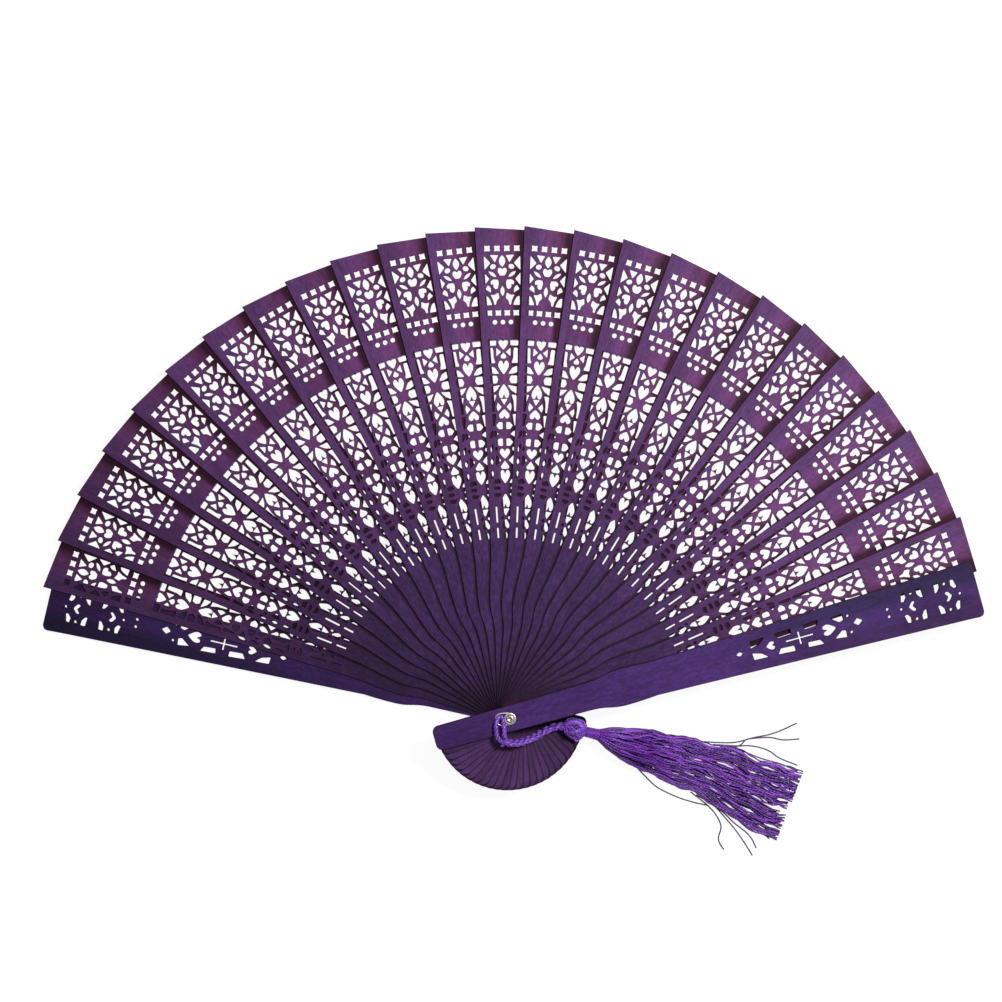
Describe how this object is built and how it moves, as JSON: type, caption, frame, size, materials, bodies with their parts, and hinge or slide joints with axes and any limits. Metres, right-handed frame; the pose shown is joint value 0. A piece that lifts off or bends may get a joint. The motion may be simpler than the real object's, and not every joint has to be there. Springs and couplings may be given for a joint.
{
  "type": "hand fan",
  "caption": "Folding hand fan of pierced dyed wood sticks on a rivet, held by a hidden ribbon, with a wire ring and a cord tassel; it opens and closes as a fan.",
  "frame": {"origin": "on the rivet's axis, at the flat underside of its foot, with the fan open", "axes": "+Z along the rivet towards the side that shows, +Y towards the fan's arc, +X to the right; metres in the row frame"},
  "size_m": [0.339, 0.2203, 0.026],
  "materials": {
    "guard_wood": "satin dyed, deep violet",
    "blade_wood": "satin dyed, purple to plum, burnt cut edges",
    "rivet_metal": "satin nickel, warm",
    "ring_wire": "bright wire",
    "ribbon": "satin ribbon",
    "tassel_thread": "silky viscose thread"
  },
  "bodies": {
    "front": {"front_guard": "guard_wood", "rivet_pin": "rivet_metal", "rear_washer": "rivet_metal", "front_washer": "rivet_metal", "spread_ribbon": "ribbon"},
    "rear": {"rear_guard": "guard_wood"},
    "stick_01": {"blade_01": "blade_wood"},
    "stick_02": {"blade_02": "blade_wood"},
    "stick_03": {"blade_03": "blade_wood"},
    "stick_04": {"blade_04": "blade_wood"},
    "stick_05": {"blade_05": "blade_wood"},
    "stick_06": {"blade_06": "blade_wood"},
    "stick_07": {"blade_07": "blade_wood"},
    "stick_08": {"blade_08": "blade_wood"},
    "stick_09": {"blade_09": "blade_wood"},
    "stick_10": {"blade_10": "blade_wood"},
    "stick_11": {"blade_11": "blade_wood"},
    "stick_12": {"blade_12": "blade_wood"},
    "stick_13": {"blade_13": "blade_wood"},
    "stick_14": {"blade_14": "blade_wood"},
    "stick_15": {"blade_15": "blade_wood"},
    "stick_16": {"blade_16": "blade_wood"},
    "stick_17": {"blade_17": "blade_wood"},
    "stick_18": {"blade_18": "blade_wood"},
    "stick_19": {"blade_19": "blade_wood"},
    "stick_20": {"blade_20": "blade_wood"},
    "stick_21": {"blade_21": "blade_wood"},
    "stick_22": {"blade_22": "blade_wood"},
    "stick_23": {"blade_23": "blade_wood"},
    "stick_24": {"blade_24": "blade_wood"},
    "stick_25": {"blade_25": "blade_wood"},
    "tassel": {"tassel_ring": "ring_wire", "tassel_cord": "tassel_thread", "tassel_knot": "tassel_thread", "tassel_binding": "tassel_thread", "tassel_skirt": "tassel_thread"}
  },
  "joints": [
    {"name": "fold", "type": "hinge", "parent": "front", "child": "rear", "pos_m": [0, 0, 0.0123], "axis": [0, 0, 1], "range_deg": [-150.98, 0], "deforming": ["spread_ribbon"]},
    {"name": "fold_01", "type": "hinge", "parent": "front", "child": "stick_01", "pos_m": [0, 0, 0.0123], "axis": [0, 0, 1], "range_deg": [-145.99, 0]},
    {"name": "fold_02", "type": "hinge", "parent": "front", "child": "stick_02", "pos_m": [0, 0, 0.0123], "axis": [0, 0, 1], "range_deg": [-140.16, 0]},
    {"name": "fold_03", "type": "hinge", "parent": "front", "child": "stick_03", "pos_m": [0, 0, 0.0123], "axis": [0, 0, 1], "range_deg": [-134.27, 0]},
    {"name": "fold_04", "type": "hinge", "parent": "front", "child": "stick_04", "pos_m": [0, 0, 0.0123], "axis": [0, 0, 1], "range_deg": [-128.28, 0]},
    {"name": "fold_05", "type": "hinge", "parent": "front", "child": "stick_05", "pos_m": [0, 0, 0.0123], "axis": [0, 0, 1], "range_deg": [-122.25, 0]},
    {"name": "fold_06", "type": "hinge", "parent": "front", "child": "stick_06", "pos_m": [0, 0, 0.0123], "axis": [0, 0, 1], "range_deg": [-116.22, 0]},
    {"name": "fold_07", "type": "hinge", "parent": "front", "child": "stick_07", "pos_m": [0, 0, 0.0123], "axis": [0, 0, 1], "range_deg": [-110.23, 0]},
    {"name": "fold_08", "type": "hinge", "parent": "front", "child": "stick_08", "pos_m": [0, 0, 0.0123], "axis": [0, 0, 1], "range_deg": [-104.34, 0]},
    {"name": "fold_09", "type": "hinge", "parent": "front", "child": "stick_09", "pos_m": [0, 0, 0.0123], "axis": [0, 0, 1], "range_deg": [-98.51, 0]},
    {"name": "fold_10", "type": "hinge", "parent": "front", "child": "stick_10", "pos_m": [0, 0, 0.0123], "axis": [0, 0, 1], "range_deg": [-92.68, 0]},
    {"name": "fold_11", "type": "hinge", "parent": "front", "child": "stick_11", "pos_m": [0, 0, 0.0123], "axis": [0, 0, 1], "range_deg": [-86.85, 0]},
    {"name": "fold_12", "type": "hinge", "parent": "front", "child": "stick_12", "pos_m": [0, 0, 0.0123], "axis": [0, 0, 1], "range_deg": [-81.02, 0]},
    {"name": "fold_13", "type": "hinge", "parent": "front", "child": "stick_13", "pos_m": [0, 0, 0.0123], "axis": [0, 0, 1], "range_deg": [-75.19, 0]},
    {"name": "fold_14", "type": "hinge", "parent": "front", "child": "stick_14", "pos_m": [0, 0, 0.0123], "axis": [0, 0, 1], "range_deg": [-69.36, 0]},
    {"name": "fold_15", "type": "hinge", "parent": "front", "child": "stick_15", "pos_m": [0, 0, 0.0123], "axis": [0, 0, 1], "range_deg": [-63.53, 0]},
    {"name": "fold_16", "type": "hinge", "parent": "front", "child": "stick_16", "pos_m": [0, 0, 0.0123], "axis": [0, 0, 1], "range_deg": [-57.7, 0]},
    {"name": "fold_17", "type": "hinge", "parent": "front", "child": "stick_17", "pos_m": [0, 0, 0.0123], "axis": [0, 0, 1], "range_deg": [-51.87, 0]},
    {"name": "fold_18", "type": "hinge", "parent": "front", "child": "stick_18", "pos_m": [0, 0, 0.0123], "axis": [0, 0, 1], "range_deg": [-46.04, 0]},
    {"name": "fold_19", "type": "hinge", "parent": "front", "child": "stick_19", "pos_m": [0, 0, 0.0123], "axis": [0, 0, 1], "range_deg": [-40.21, 0]},
    {"name": "fold_20", "type": "hinge", "parent": "front", "child": "stick_20", "pos_m": [0, 0, 0.0123], "axis": [0, 0, 1], "range_deg": [-34.38, 0]},
    {"name": "fold_21", "type": "hinge", "parent": "front", "child": "stick_21", "pos_m": [0, 0, 0.0123], "axis": [0, 0, 1], "range_deg": [-28.55, 0]},
    {"name": "fold_22", "type": "hinge", "parent": "front", "child": "stick_22", "pos_m": [0, 0, 0.0123], "axis": [0, 0, 1], "range_deg": [-22.72, 0]},
    {"name": "fold_23", "type": "hinge", "parent": "front", "child": "stick_23", "pos_m": [0, 0, 0.0123], "axis": [0, 0, 1], "range_deg": [-16.89, 0]},
    {"name": "fold_24", "type": "hinge", "parent": "front", "child": "stick_24", "pos_m": [0, 0, 0.0123], "axis": [0, 0, 1], "range_deg": [-11.06, 0]},
    {"name": "fold_25", "type": "hinge", "parent": "front", "child": "stick_25", "pos_m": [0, 0, 0.0123], "axis": [0, 0, 1], "range_deg": [-5.23, 0]},
    {"name": "tassel_swing", "type": "hinge", "parent": "front", "child": "tassel", "pos_m": [0, 0, 0.0237], "axis": [0, 0, 1], "range_deg": [-3, 0]}
  ],
  "couplings": [
    {"joint": "fold_01", "follows": "fold", "ratio": 0.96695},
    {"joint": "fold_02", "follows": "fold", "ratio": 0.92833},
    {"joint": "fold_03", "follows": "fold", "ratio": 0.88931},
    {"joint": "fold_04", "follows": "fold", "ratio": 0.84966},
    {"joint": "fold_05", "follows": "fold", "ratio": 0.80971},
    {"joint": "fold_06", "follows": "fold", "ratio": 0.76976},
    {"joint": "fold_07", "follows": "fold", "ratio": 0.73011},
    {"joint": "fold_08", "follows": "fold", "ratio": 0.69108},
    {"joint": "fold_09", "follows": "fold", "ratio": 0.65247},
    {"joint": "fold_10", "follows": "fold", "ratio": 0.61386},
    {"joint": "fold_11", "follows": "fold", "ratio": 0.57524},
    {"joint": "fold_12", "follows": "fold", "ratio": 0.53663},
    {"joint": "fold_13", "follows": "fold", "ratio": 0.49801},
    {"joint": "fold_14", "follows": "fold", "ratio": 0.4594},
    {"joint": "fold_15", "follows": "fold", "ratio": 0.42078},
    {"joint": "fold_16", "follows": "fold", "ratio": 0.38217},
    {"joint": "fold_17", "follows": "fold", "ratio": 0.34356},
    {"joint": "fold_18", "follows": "fold", "ratio": 0.30494},
    {"joint": "fold_19", "follows": "fold", "ratio": 0.26633},
    {"joint": "fold_20", "follows": "fold", "ratio": 0.22771},
    {"joint": "fold_21", "follows": "fold", "ratio": 0.1891},
    {"joint": "fold_22", "follows": "fold", "ratio": 0.15048},
    {"joint": "fold_23", "follows": "fold", "ratio": 0.11187},
    {"joint": "fold_24", "follows": "fold", "ratio": 0.073255},
    {"joint": "fold_25", "follows": "fold", "ratio": 0.03464}
  ]
}
